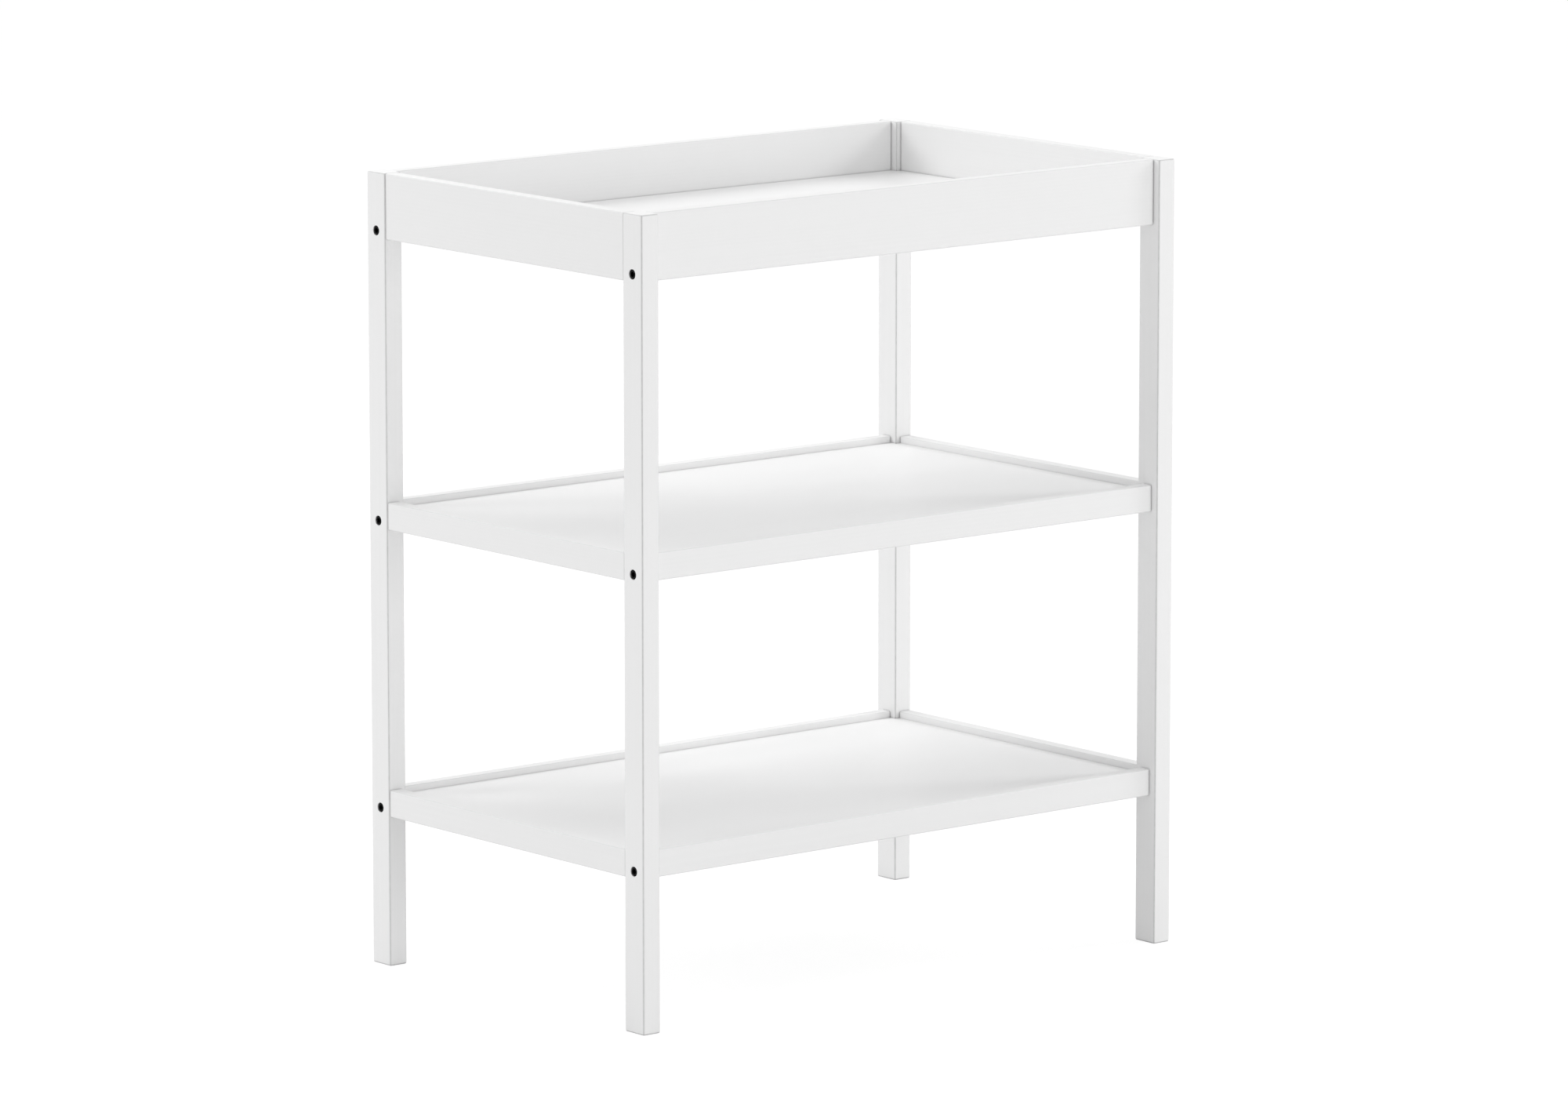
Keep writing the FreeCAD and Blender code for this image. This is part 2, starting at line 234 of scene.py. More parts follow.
class DowelSettings(PropertyGroup):
    """The fluted beech dowels, whose overall size comes from the CAD frame."""

    flutes: groove_property("Flutes", "Grooves round a dowel", 18)
    flute_depth: length_property("Flute depth", "Depth of a glue groove", 0.22 * MM)
    chamfer: length_property("Chamfer", "Bevel at both ends", 0.6 * MM)
    blank_spacing: length_property("Blank spacing", "Distance in the plank from dowel to dowel", 37.0 * MM)
    ring_spacing: length_property("Ring spacing", "Distance between growth rings", 2.1 * MM)
    ring_wander: length_property("Ring wander", "How far the rings stray", 4.0 * MM)
    pore_relief: length_property("Pore relief", "Depth of the rings and flecks", 0.03 * MM)
    colour: colour_property("Colour", "Bare beech", SLOT_COLOURS["beech"])
    ray_colour: colour_property("Fleck colour", "The darker flecks of the beech", (0.46, 0.29, 0.16))
    roughness: share_property("Roughness", "Roughness of the bare wood", 0.68)
    specular: share_property("Specular level", "Strength of the wood's reflection", 0.3)


class StageSettings(PropertyGroup):
    """Floor, light and camera."""

    floor_radius: length_property("Floor radius", "Size of the round floor", 14.0)
    floor_colour: colour_property("Floor colour", "Pale floor", (0.90, 0.90, 0.90))
    floor_glow: share_property("Floor glow", "Share of plain white in the floor that the camera sees", 0.80)
    foot_margin: length_property("Foot margin", "How much floor is left inside a foot's edge", 2.2 * MM)
    room_light: share_property("Room light", "Even light from all round", 0.69, top=10.0)
    left_light: power_property("Left light", "Softbox on the left", 32.0)
    front_light: power_property("Front light", "Low softbox in front", 28.0)
    right_light: power_property("Right light", "Softbox on the right", 54.0)
    high_light: power_property("High light", "Wide softbox behind left", 42.0)
    top_light: power_property("Top light", "Wide softbox overhead", 6.0)
    softbox_size: length_property("Softbox size", "Side of each square softbox", 1.2)
    softbox_distance: length_property("Softbox distance", "From the table's middle", 5.0)
    wide_softbox_size: length_property("Wide softbox size", "Side of each wide square softbox", 2.6)
    wide_softbox_distance: length_property("Wide softbox distance", "From the table's middle", 3.6)
    camera_azimuth: angle_property("Azimuth", "Round the table", -39.41)
    camera_elevation: angle_property("Elevation", "Above the horizon", 9.70)
    camera_distance: length_property("Camera distance", "From the point that it looks at", 9.835)
    camera_lens: FloatProperty(name="Lens", description="Focal length in millimetres", default=204.8)
    aim: FloatVectorProperty(
        name="Aim", description="Point that the camera looks at", default=(0.0107, -0.0058, 0.4529),
        subtype="TRANSLATION", size=3,
    )


# ---------------------------------------------------------------- node trees


class Wiring:
    """Adds nodes to a tree. An input that is given a socket is linked to it, and any other value is set."""

    def __init__(self, tree):
        self.tree = tree

    def connect(self, value, socket):
        if isinstance(value, bpy.types.NodeSocket):
            self.tree.links.new(value, socket)
        else:
            socket.default_value = value

    def add(self, kind, inputs=None, **settings):
        node = self.tree.nodes.new(kind)
        for name, value in settings.items():
            setattr(node, name, value)
        for key, value in (inputs or {}).items():
            self.connect(value, node.inputs[key])
        return node

    def math(self, operation, *values):
        node = self.add("ShaderNodeMath", dict(enumerate(values)), operation=operation)
        return node.outputs[0]

    def vector_math(self, operation, *values):
        node = self.add("ShaderNodeVectorMath", dict(enumerate(values)), operation=operation)
        return node.outputs["Value" if operation == "DOT_PRODUCT" else "Vector"]

    def distance(self, across, through):
        """How far a place is from the axis, by its two coordinates."""
        squares = self.math("ADD", self.math("POWER", across, 2.0), self.math("POWER", through, 2.0))
        return self.math("SQRT", squares)

    def remap(self, value, low, high, new_low=0.0, new_high=1.0):
        """A value whose range is taken to a new one, with soft ends."""
        inputs = {0: value, 1: low, 2: high, 3: new_low, 4: new_high}
        return self.add("ShaderNodeMapRange", inputs, interpolation_type="SMOOTHSTEP").outputs[0]

    def mix_colour(self, factor, first, second):
        """A blend of two colours. The node's colour sockets are inputs 6 and 7 and output 2."""
        inputs = {0: factor, 6: first, 7: second}
        return self.add("ShaderNodeMix", inputs, data_type="RGBA").outputs[2]

    def noise(self, vector, scale, detail=2.0, roughness=0.5):
        """Noise with a scale in features per metre."""
        inputs = {"Vector": vector, "Scale": scale, "Detail": detail, "Roughness": roughness}
        return self.add("ShaderNodeTexNoise", inputs).outputs["Fac"]

    def bump(self, height, distance, normal=None):
        inputs = {"Height": height, "Distance": distance}
        if normal is not None:
            inputs["Normal"] = normal
        return self.add("ShaderNodeBump", inputs).outputs["Normal"]


def shader_group(name, inputs, outputs, build):
    """A shader node group with named sockets, built once and used again wherever its name is asked for."""
    group = bpy.data.node_groups.get(name)
    if group is not None:
        return group
    group = bpy.data.node_groups.new(name, "ShaderNodeTree")
    for label, kind, default in inputs:
        socket = group.interface.new_socket(label, in_out="INPUT", socket_type="NodeSocket" + kind)
        if default is not None:
            socket.default_value = default
    for label, kind in outputs:
        group.interface.new_socket(label, in_out="OUTPUT", socket_type="NodeSocket" + kind)
    wiring = Wiring(group)
    given = wiring.add("NodeGroupInput").outputs
    made = wiring.add("NodeGroupOutput").inputs
    for label, socket in build(wiring, given).items():
        wiring.connect(socket, made[label])
    return group


def use_group(wiring, group, inputs):
    """Places a group in a material and gives its outputs."""
    return wiring.add("ShaderNodeGroup", inputs, node_tree=group).outputs


def wood_grain():
    """Growth rings round a heart outside the piece, and pores, for a grain that runs along Z."""
    ring_stretch = (1.0, 1.0, 0.045)
    pore_stretch = (1.0, 1.0, 0.03)
    heart_left = 93.0 * MM
    heart_back = 61.0 * MM
    wander_scale = 26.0
    patch_scale = 75.0
    patch_range = (0.30, 0.70)
    faint_ring = 0.8
    full_ring = 27.0 / 4.0  # takes the peak of phase squared times (1 - phase) to 1
    pore_scale = 1500.0
    pore_range = (0.60, 0.72)

    def build(wiring, given):
        squeeze = wiring.vector_math("MULTIPLY", given["Vector"], ring_stretch)
        wander = wiring.noise(squeeze, wander_scale, detail=3.0)
        place = wiring.add("ShaderNodeSeparateXYZ", {0: squeeze}).outputs
        across = wiring.math("ADD", place["X"], heart_left)
        through = wiring.math("SUBTRACT", place["Y"], heart_back)
        stray = wiring.math("MULTIPLY", wander, given["Wander"])
        radius = wiring.math("ADD", wiring.distance(across, through), stray)
        phase = wiring.math("FRACT", wiring.math("DIVIDE", radius, given["Ring Spacing"]))
        rise = wiring.math("MULTIPLY", wiring.math("POWER", phase, 2.0), wiring.math("SUBTRACT", 1.0, phase))
        strength = wiring.remap(wiring.noise(squeeze, patch_scale), *patch_range, faint_ring, full_ring)
        rings = wiring.math("MULTIPLY", rise, strength)
        strands = wiring.vector_math("MULTIPLY", given["Vector"], pore_stretch)
        specks = wiring.noise(strands, pore_scale, detail=1.0)
        return {"Rings": rings, "Pores": wiring.remap(specks, *pore_range)}

    inputs = [
        ("Vector", "Vector", None),
        ("Ring Spacing", "Float", 4.0 * MM),
        ("Wander", "Float", 12.0 * MM),
    ]
    return shader_group("Wood grain", inputs, [("Rings", "Float"), ("Pores", "Float")], build)


def lacquer_film():
    """Orange peel of a sprayed or rolled film, and slow clouds in its gloss."""
    fine_scale = 55.0
    fine_share = 0.45
    slow_scale = 7.0

    def build(wiring, given):
        scale = wiring.math("DIVIDE", 1.0, given["Peel Size"])
        peel = wiring.noise(given["Vector"], scale, detail=1.5, roughness=0.45)
        fine = wiring.noise(given["Vector"], fine_scale, detail=4.0, roughness=0.6)
        slow = wiring.noise(given["Vector"], slow_scale)
        slow_part = wiring.math("MULTIPLY", slow, 1.0 - fine_share)
        clouds = wiring.math("ADD", wiring.math("MULTIPLY", fine, fine_share), slow_part)
        return {"Peel": peel, "Clouds": clouds}

    inputs = [("Vector", "Vector", None), ("Peel Size", "Float", 1.5 * MM)]
    outputs = [("Peel", "Float"), ("Clouds", "Float")]
    return shader_group("Lacquer film", inputs, outputs, build)


def arris_wear_and_shade():
    """A mask for lacquer wear and painted shade where a square piece is rounded: 0 on its flat faces, 1 in
    the middle of an arris or a corner.
    """
    round_range = (0.01, 0.16)
    rub_scale = 180.0
    rub_range = (0.25, 0.75)
    least_rub = 0.75

    def build(wiring, given):
        size = wiring.vector_math("ABSOLUTE", given["Normal"])
        sides = wiring.add("ShaderNodeSeparateXYZ", {0: size}).outputs
        flat = wiring.math("MAXIMUM", sides["X"], wiring.math("MAXIMUM", sides["Y"], sides["Z"]))
        round_part = wiring.remap(wiring.math("SUBTRACT", 1.0, flat), *round_range)
        rubbed = wiring.noise(given["Vector"], rub_scale, detail=3.0)
        uneven = wiring.remap(rubbed, *rub_range, least_rub, 1.0)
        return {"Arris": wiring.math("MULTIPLY", round_part, uneven)}

    inputs = [("Vector", "Vector", None), ("Normal", "Vector", None)]
    return shader_group("Arris wear", inputs, [("Arris", "Float")], build)


def painted_crease_shade():
    """Painted shade where pieces meet or a face runs into a corner, from ambient occlusion: 0 in the open, 1
    down in the crease.
    """
    closed_range = (0.06, 0.60)

    def build(wiring, given):
        occlusion = wiring.add("ShaderNodeAmbientOcclusion", {"Distance": given["Reach"]}, samples=8)
        closed = wiring.math("SUBTRACT", 1.0, occlusion.outputs["AO"])
        return {"Crease": wiring.remap(closed, *closed_range)}

    return shader_group("Crease dust", [("Reach", "Float", 3.0 * MM)], [("Crease", "Float")], build)


def end_grain():
    """Faces that look along the grain: the mask of such faces and their open, speckled texture."""
    facing_range = (0.80, 0.98)
    speckle_scale = 900.0

    def build(wiring, given):
        along = wiring.vector_math("DOT_PRODUCT", given["Normal"], given["Grain"])
        mask = wiring.remap(wiring.math("ABSOLUTE", along), *facing_range)
        speckle = wiring.noise(given["Vector"], speckle_scale, detail=3.0, roughness=0.65)
        return {"Mask": mask, "Speckle": speckle}

    inputs = [("Vector", "Vector", None), ("Normal", "Vector", None), ("Grain", "Vector", None)]
    return shader_group("End grain", inputs, [("Mask", "Float"), ("Speckle", "Float")], build)


def turning_marks():
    """Fine tool marks on turned metal round the Z axis, on its ends and along its side, and blotches."""
    patch_scale = 700.0
    patch_range = (0.35, 0.65)
    blotch_scale = 260.0
    blotch_range = (0.35, 0.7)

    def build(wiring, given):
        place = wiring.add("ShaderNodeSeparateXYZ", {0: given["Vector"]}).outputs
        travel = wiring.math("ADD", wiring.distance(place["X"], place["Y"]), place["Z"])
        turns = wiring.math("DIVIDE", wiring.math("MULTIPLY", travel, math.tau), given["Pitch"])
        wave = wiring.math("MULTIPLY", wiring.math("ADD", wiring.math("SINE", turns), 1.0), 0.5)
        patchy = wiring.noise(given["Vector"], patch_scale, detail=3.0)
        marks = wiring.math("MULTIPLY", wave, wiring.remap(patchy, *patch_range))
        stains = wiring.noise(given["Vector"], blotch_scale, detail=4.0, roughness=0.6)
        return {"Marks": marks, "Blotches": wiring.remap(stains, *blotch_range)}

    inputs = [("Vector", "Vector", None), ("Pitch", "Float", 0.2 * MM)]
    return shader_group("Turning marks", inputs, [("Marks", "Float"), ("Blotches", "Float")], build)


# ---------------------------------------------------------------- materials


def opaque(colour):
    """A colour with its alpha, as a shader socket wants it."""
    return (*colour, 1.0)


def shaded(colour, share):
    """A darker copy of a colour."""
    return opaque([part * (1.0 - share) for part in colour])


def new_material(name):
    """An empty node material, its wiring and its Principled shader."""
    material = bpy.data.materials.new(name)
    material.use_nodes = True
    wiring = Wiring(material.node_tree)
    return material, wiring, material.node_tree.nodes["Principled BSDF"]


def set_inputs(wiring, shader, values):
    """Links or sets several inputs of a shader."""
    for name, value in values.items():
        wiring.connect(value, shader.inputs[name])


def piece_coordinates(wiring):
    """The object coordinates and the object normal."""
    coordinates = wiring.add("ShaderNodeTexCoord").outputs
    return coordinates["Object"], coordinates["Normal"]


def darkened(wiring, colour, mask, share):
    """A colour that a mask takes a share of the way to black."""
    return wiring.mix_colour(wiring.math("MULTIPLY", mask, share), colour, opaque(BLACK))


def clouded(wiring, colour, mask, share):
    """A colour that is a share darker where a mask is 0."""
    return wiring.mix_colour(mask, shaded(colour, share), opaque(colour))


def wear_and_painted_shade(wiring, colour, edges, edge_shade, crease_shade, settings):
    """A lacquer colour with its edges darkened, partly as thin film and partly as painted shade, and with
    painted shade in its creases.
    """
    # Edges darkened: partly thinner film, partly painted shade on the rounded arrises.
    worn = darkened(wiring, colour, edges, edge_shade)
    # Painted shade in creases and joints, from ambient occlusion.
    crease = use_group(wiring, painted_crease_shade(), {"Reach": settings.crease_reach})["Crease"]
    return darkened(wiring, worn, crease, crease_shade)


def satin(wiring, clouds, settings):
    """The film's roughness, which wanders with slow clouds."""
    half = settings.roughness_spread / 2
    return wiring.remap(clouds, *CLOUD_RANGE, settings.roughness - half, settings.roughness + half)


def lacquered_wood(name, grain, arris_shade, crease_shade, settings):
    """White satin lacquer on solid wood whose grain runs along the given axis of the row frame."""
    end_roughness = 0.15
    end_relief = 2.0
    material, wiring, shader = new_material(name)
    place, normal = piece_coordinates(wiring)
    turn = grain.rotation_difference(UPRIGHT).to_euler()
    along = wiring.add("ShaderNodeMapping", {"Vector": place, "Rotation": turn}).outputs["Vector"]
    rings = use_group(wiring, wood_grain(), {
        "Vector": along, "Ring Spacing": settings.ring_spacing, "Wander": settings.ring_wander,
    })
    film = use_group(wiring, lacquer_film(), {"Vector": place, "Peel Size": settings.peel_size})
    arris = use_group(wiring, arris_wear_and_shade(), {"Vector": place, "Normal": normal})["Arris"]
    ends = use_group(wiring, end_grain(), {"Vector": place, "Normal": normal, "Grain": grain})

    cloudy = clouded(wiring, settings.wood_colour, film["Clouds"], settings.cloud_shade)
    ringed = darkened(wiring, cloudy, rings["Rings"], settings.grain_shade)
    peel = wiring.bump(film["Peel"], settings.peel_relief)
    pore_depth = settings.pore_relief / settings.ring_relief
    sunk = wiring.math("MULTIPLY_ADD", rings["Pores"], -pore_depth, rings["Rings"])
    end_speckle = wiring.math("MULTIPLY", ends["Mask"], ends["Speckle"])
    open_ends = wiring.math("MULTIPLY_ADD", end_speckle, end_relief, sunk)
    roughness = satin(wiring, film["Clouds"], settings)
    set_inputs(wiring, shader, {
        # Base colour: grain and clouds, with painted shade on the arrises (partly also wear) and in the
        # creases.
        "Base Color": wear_and_painted_shade(wiring, ringed, arris, arris_shade, crease_shade, settings),
        "Roughness": wiring.math("MULTIPLY_ADD", ends["Mask"], end_roughness, roughness),
        "Specular IOR Level": settings.specular,
        "Coat Weight": wiring.remap(arris, 0.0, 1.0, settings.clear_coat, 0.0),
        "Coat Roughness": COAT_ROUGHNESS,
        "Normal": wiring.bump(open_ends, settings.ring_relief, normal=peel),
    })
    return material


def lacquered_board(name, crease_shade, settings):
    """White satin lacquer rolled on fibreboard: fine stipple, faint roller lanes and thirsty cut edges."""
    lane_stretch = (0.5, 30.0, 30.0)
    edge_range = (0.9, 0.3)
    edge_roughness = 0.2
    material, wiring, shader = new_material(name)
    place, normal = piece_coordinates(wiring)
    film = use_group(wiring, lacquer_film(), {"Vector": place, "Peel Size": settings.roller_size})
    arris = use_group(wiring, arris_wear_and_shade(), {"Vector": place, "Normal": normal})["Arris"]
    lanes_place = wiring.vector_math("MULTIPLY", place, lane_stretch)
    lanes = wiring.noise(lanes_place, 1.0)
    upright = wiring.add("ShaderNodeSeparateXYZ", {0: normal}).outputs["Z"]
    cut_edge = wiring.remap(wiring.math("ABSOLUTE", upright), *edge_range)

    lane_tone = clouded(wiring, settings.board_colour, lanes, settings.cloud_shade)
    cloudy = darkened(wiring, lane_tone, film["Clouds"], settings.cloud_shade)
    # The darkened edges: cut edges that drink the lacquer, and arrises with wear and painted shade; the
    # creases get painted shade.
    edges = wiring.math("MAXIMUM", cut_edge, arris)
    stipple = wiring.bump(film["Peel"], settings.roller_relief)
    set_inputs(wiring, shader, {
        "Base Color": wear_and_painted_shade(wiring, cloudy, edges, settings.rail_arris_shade, crease_shade, settings),
        "Roughness": wiring.math("MULTIPLY_ADD", cut_edge, edge_roughness, satin(wiring, lanes, settings)),
        "Specular IOR Level": settings.specular,
        "Coat Weight": wiring.remap(edges, 0.0, 1.0, settings.clear_coat, 0.0),
        "Coat Roughness": COAT_ROUGHNESS,
        "Normal": wiring.bump(lanes, settings.roller_relief, normal=stipple),
    })
    return material


def black_oxide(name, settings):
    """Near-black oxide on steel, read in each bolt's own frame from its attribute."""
    dull_gain = 0.08
    worn_loss = 0.06
    material, wiring, shader = new_material(name)
    own = wiring.add("ShaderNodeAttribute", attribute_name=OWN_PLACE).outputs["Vector"]
    turned = use_group(wiring, turning_marks(), {"Vector": own, "Pitch": settings.mark_pitch})
    colour = wiring.mix_colour(turned["Blotches"], opaque(settings.colour), opaque(settings.worn_colour))
    dull = settings.roughness + dull_gain
    worn = settings.roughness - worn_loss
    set_inputs(wiring, shader, {
        "Base Color": colour,
        "Roughness": wiring.remap(turned["Blotches"], 0.0, 1.0, dull, worn),
        "Specular IOR Level": settings.specular,
        "Normal": wiring.bump(turned["Marks"], settings.mark_relief),
    })
    return material


def zinc_plate(name, centre, settings):
    """Bright zinc on a barrel nut, with turning marks round its own axis, which runs along Y."""
    quarter_turn = (math.pi / 2, 0.0, 0.0)
    mark_roughness = 0.14
    material, wiring, shader = new_material(name)
    place, _ = piece_coordinates(wiring)
    centred = wiring.add("ShaderNodeMapping", {"Vector": place, "Location": -centre}).outputs["Vector"]
    own = wiring.add("ShaderNodeMapping", {"Vector": centred, "Rotation": quarter_turn}).outputs["Vector"]
    turned = use_group(wiring, turning_marks(), {"Vector": own, "Pitch": settings.mark_pitch})
    colour = wiring.mix_colour(turned["Blotches"], opaque(settings.colour), opaque(settings.stain_colour))
    rough = settings.roughness + mark_roughness
    set_inputs(wiring, shader, {
        "Base Color": colour,
        "Metallic": 1.0,
        "Roughness": wiring.remap(turned["Marks"], 0.0, 1.0, settings.roughness, rough),
        "Normal": wiring.bump(turned["Marks"], settings.mark_relief),
    })
    return material


def bare_beech(name, settings):
    """Unfinished beech with its short flecks, read in each dowel's own frame from its attribute."""
    fleck_stretch = (1.0, 1.0, 0.22)
    fleck_scale = 1400.0
    fleck_range = (0.56, 0.68)
    fleck_share = 0.6
    fleck_roughness = 0.12
    ring_share = 0.45
    material, wiring, shader = new_material(name)
    own = wiring.add("ShaderNodeAttribute", attribute_name=OWN_PLACE).outputs["Vector"]
    rings = use_group(wiring, wood_grain(), {
        "Vector": own, "Ring Spacing": settings.ring_spacing, "Wander": settings.ring_wander,
    })["Rings"]
    fleck_place = wiring.vector_math("MULTIPLY", own, fleck_stretch)
    flecks = wiring.remap(wiring.noise(fleck_place, fleck_scale), *fleck_range)
    dark = opaque(settings.ray_colour)
    ringed = wiring.mix_colour(wiring.math("MULTIPLY", rings, ring_share), opaque(settings.colour), dark)
    flecked = wiring.mix_colour(wiring.math("MULTIPLY", flecks, fleck_share), ringed, dark)
    relief = wiring.math("SUBTRACT", rings, flecks)
    rough = settings.roughness + fleck_roughness
    set_inputs(wiring, shader, {
        "Base Color": flecked,
        "Roughness": wiring.remap(flecks, 0.0, 1.0, settings.roughness, rough),
        "Specular IOR Level": settings.specular,
        "Normal": wiring.bump(relief, settings.pore_relief),
    })
    return material


# ---------------------------------------------------------------- pieces


def finish_nodes(names, material):
    """Gives CAD nodes a material in place of the plain one they come with."""
    for name in names:
        slots = frame["nodes"][name].material_slots
        if not slots:
            raise RuntimeError(f"CAD node {name} has no material slot")
        for entry in slots:
            entry.material = material


def pick(items, kind):
    """The vertices, edges or faces in what a mesh operator gives back."""
    return [item for item in items if isinstance(item, kind)]


def open_edges(bm, height):
    """The open edges of a mesh that lie at a height."""

    def level(edge):
        return all(abs(vertex.co.z - height) < HEIGHT_TOLERANCE for vertex in edge.verts)

    return [edge for edge in bm.edges if edge.is_boundary and level(edge)]


def draw_outline(bm, outline):
    """A chain of edges through points given as radius and height, in the XZ plane."""
    vertices = [bm.verts.new((radius, 0.0, height)) for radius, height in outline]
    edges = [bm.edges.new(pair) for pair in zip(vertices, vertices[1:])]
    return vertices + edges


def turn_outline(bm, outline, steps):
    """Turns an outline into a closed band round the Z axis."""
    geometry = draw_outline(bm, outline)
    bmesh.ops.spin(
        bm, geom=geometry, cent=(0, 0, 0), axis=(0, 0, 1), angle=math.tau, steps=steps, use_merge=True
    )


def cut_grooves(bm, vertices, steps, depth):
    """Draws every second vertex round the Z axis inwards, which leaves grooves along the axis."""
    step = math.tau / steps
    grooved = [vertex for vertex in vertices if round(math.atan2(vertex.co.y, vertex.co.x) / step) % 2]
    radius = max(vertex.co.xy.length for vertex in grooved)
    share = 1.0 - depth / radius
    bmesh.ops.scale(bm, vec=(share, share, 1.0), verts=grooved)


def extend_ring(bm, ring, share, travel):
    """Extrudes a ring of edges along Z while it shrinks or grows, and gives the new ring."""
    made = bmesh.ops.extrude_edge_only(bm, edges=ring)["geom"]
    vertices = pick(made, bmesh.types.BMVert)
    bmesh.ops.scale(bm, vec=(share, share, 1.0), verts=vertices)
    bmesh.ops.translate(bm, vec=(0.0, 0.0, travel), verts=vertices)
    kept = set(vertices)
    return [edge for edge in pick(made, bmesh.types.BMEdge) if kept.issuperset(edge.verts)]


def check_closed(bm, name):
    """Merges doubles, turns the faces outwards and makes sure that the skin has no gap."""
    bmesh.ops.remove_doubles(bm, verts=bm.verts, dist=MERGE_DISTANCE)
    bmesh.ops.recalc_face_normals(bm, faces=bm.faces)
    gaps = [edge for edge in bm.edges if not edge.is_manifold]
    if gaps:
        raise RuntimeError(f"{name} has {len(gaps)} open or doubled edges")


def new_piece(name, bm, material, node, crease):
    """Makes a closed mesh a piece that rides on the table and stands for a CAD node."""
    mesh = bpy.data.meshes.new(name)
    bm.to_mesh(mesh)
    bm.free()
    mesh.shade_smooth()
    mesh.set_sharp_from_angle(angle=crease)
    mesh.materials.append(material)
    piece = bpy.data.objects.new(name, mesh)
    bpy.context.scene.collection.objects.link(piece)
    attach(piece, "root")
    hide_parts(node)


def turn_bolt_body(bm, size, steps):
    """Knurled head and plain shank, from the rim of the head's top face at Z 0 down to the thread."""
    head = size.head_diameter / 2
    shank = size.shank_diameter / 2
    shoulder = -size.head_height
    knurl_top = -2.0 * size.head_chamfer
    knurl_foot = shoulder + size.head_chamfer
    outline = [
        (head - size.head_chamfer, 0.0),
        (head, -size.head_chamfer),
        (head, knurl_top),
        (head, knurl_foot),
        (head - size.head_chamfer / 2, shoulder),
        (shank + size.head_fillet, shoulder),
        (shank, shoulder - size.head_fillet),
        (shank, thread_top(size)),
    ]
    turn_outline(bm, outline, steps)
    low = knurl_foot - HEIGHT_TOLERANCE
    high = knurl_top + HEIGHT_TOLERANCE
    band = [vertex for vertex in bm.verts if low < vertex.co.z < high]
    cut_grooves(bm, band, steps, size.knurl_depth)


def thread_top(size):
    """Where the plain shank ends and the thread starts."""
    return size.thread_length - size.overall_length


def sink_socket(bm, size):
    """The hex socket with a bevelled rim and a drilled, pointed floor, joined to the head's top face."""
    hex_radius = size.hex_across_flats / math.sqrt(3.0)
    rim_radius = hex_radius + size.socket_bevel
    head_rim = open_edges(bm, 0.0)
    bmesh.ops.create_circle(bm, cap_ends=False, segments=6, radius=rim_radius)
    socket_rim = [edge for edge in bm.edges if edge.is_wire]
    bmesh.ops.bridge_loops(bm, edges=head_rim + socket_rim)
    walls = extend_ring(bm, socket_rim, hex_radius / rim_radius, -size.socket_bevel)
    floor_rim = extend_ring(bm, walls, 1.0, size.socket_bevel - size.hex_depth)
    floor = bmesh.ops.edgeloop_fill(bm, edges=floor_rim)["faces"]
    bmesh.ops.poke(bm, faces=floor, offset=-size.socket_point)


def cut_thread(bm, size, steps):
    """A helical thread from shank to bevelled tip, trimmed flat at both ends and joined to the shank."""
    crest = size.shank_diameter / 2
    root = crest - size.thread_depth
    pitch = size.thread_pitch
    shank_rim = open_edges(bm, thread_top(size))
    top = thread_top(size) - size.thread_depth
    foot = size.thread_depth - size.overall_length
    start = foot - THREAD_RUN_IN * pitch
    # Root, rising flank, crest and falling flank, by the share of a pitch at which each ends.
    form = [(root, 0.0), (root, 0.25), (crest, 0.56), (crest, 0.69), (root, 1.0)]
    before = set(bm.verts)
    profile = draw_outline(bm, [(radius, start + share * pitch) for radius, share in form])
    turns = math.ceil((top - start) / pitch) + 1
    bmesh.ops.spin(
        bm, geom=profile, cent=(0, 0, 0), axis=(0, 0, 1), dvec=(0, 0, pitch / steps),
        angle=math.tau * turns, steps=steps * turns,
    )
    strip = [vertex for vertex in bm.verts if vertex not in before]
    bmesh.ops.remove_doubles(bm, verts=strip, dist=MERGE_DISTANCE)
    rings = []
    for height, side in ((top, 1.0), (foot, -1.0)):
        strip = [vertex for vertex in bm.verts if vertex not in before]
        edges = {edge for vertex in strip for edge in vertex.link_edges}
        faces = {face for vertex in strip for face in vertex.link_faces}
        cut = bmesh.ops.bisect_plane(
            bm, geom=[*strip, *edges, *faces], clear_outer=True,
            plane_co=(0, 0, height), plane_no=(0, 0, side),
        )
        rings.append(pick(cut["geom_cut"], bmesh.types.BMEdge))
    bmesh.ops.bridge_loops(bm, edges=shank_rim + rings[0])
    tip = extend_ring(bm, rings[1], (root - size.thread_depth / 2) / root, -size.thread_depth)
    bmesh.ops.edgeloop_fill(bm, edges=tip)


def model_bolt(size):
    """A whole bolt in its own frame: the head's top at Z 0, and the tip downwards."""
    bm = bmesh.new()
    steps = 2 * size.knurl_grooves
    turn_bolt_body(bm, size, steps)
    sink_socket(bm, size)
    cut_thread(bm, size, THREAD_STEPS)
    check_closed(bm, "bolt")
    layer = bm.verts.layers.float_vector.new(OWN_PLACE)
    for vertex in bm.verts:
        vertex[layer] = vertex.co
    return bm


def place_bolt(master, node, turn):
    """A copy of the bolt in its hole, with the key's flats turned by an angle."""
    low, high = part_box(node)
    middle = (low + high) / 2
    outwards = Vector((math.copysign(1.0, middle.x), 0.0, 0.0))
    head_top = Vector((high.x if middle.x > 0 else low.x, middle.y, middle.z))
    facing = UPRIGHT.rotation_difference(outwards).to_matrix().to_4x4()
    bm = master.copy()
    matrix = Matrix.Translation(head_top) @ facing @ Matrix.Rotation(turn, 4, "Z")
    bmesh.ops.transform(bm, matrix=matrix, verts=bm.verts)
    return bm


